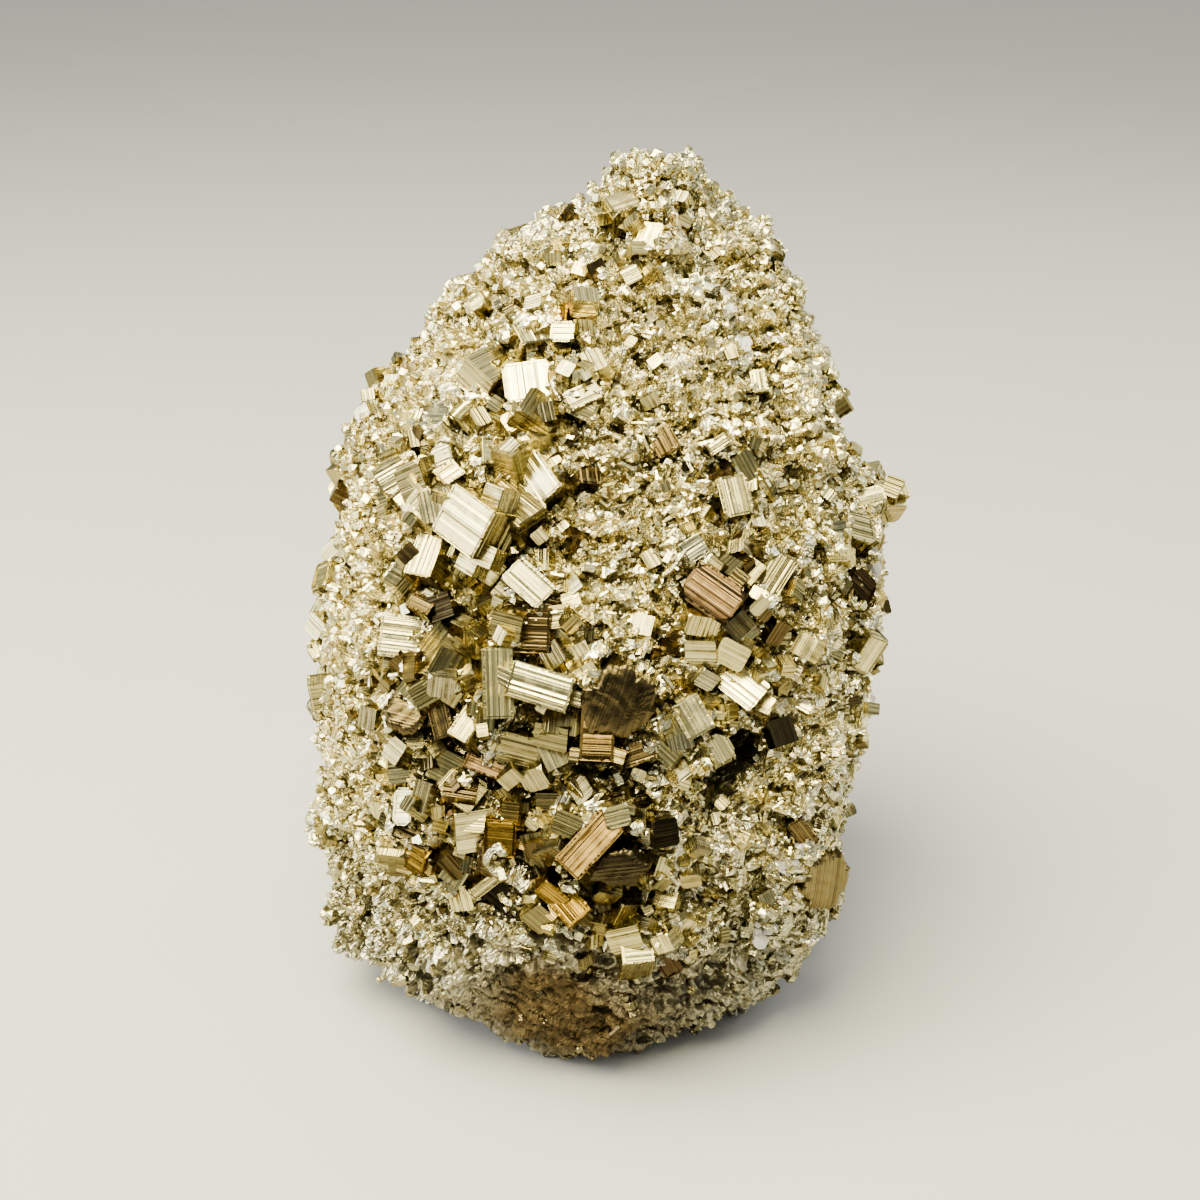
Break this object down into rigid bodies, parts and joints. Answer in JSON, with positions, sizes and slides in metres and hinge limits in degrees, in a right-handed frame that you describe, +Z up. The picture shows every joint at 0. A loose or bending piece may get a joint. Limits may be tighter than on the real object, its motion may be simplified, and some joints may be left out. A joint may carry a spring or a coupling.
{
  "type": "pyrite crystal cluster",
  "caption": "Free-standing egg-shaped mass of intergrown brassy cube crystals with striated faces, tapering to a blunt summit and resting on a flat underside.",
  "frame": {"origin": "near the middle of the flat underside, on the resting plane", "axes": "+Z up towards the blunt summit, -Y towards the side with the largest cubes, +X to that side's right"},
  "size_m": [0.1205, 0.127, 0.164],
  "materials": {
    "pyrite": "metallic lustre: bright striated cube faces with bronze and rosy tarnish, sugary fine-grained ground between them"
  },
  "bodies": {
    "root": {"pyrite_cluster": "pyrite"}
  },
  "joints": []
}
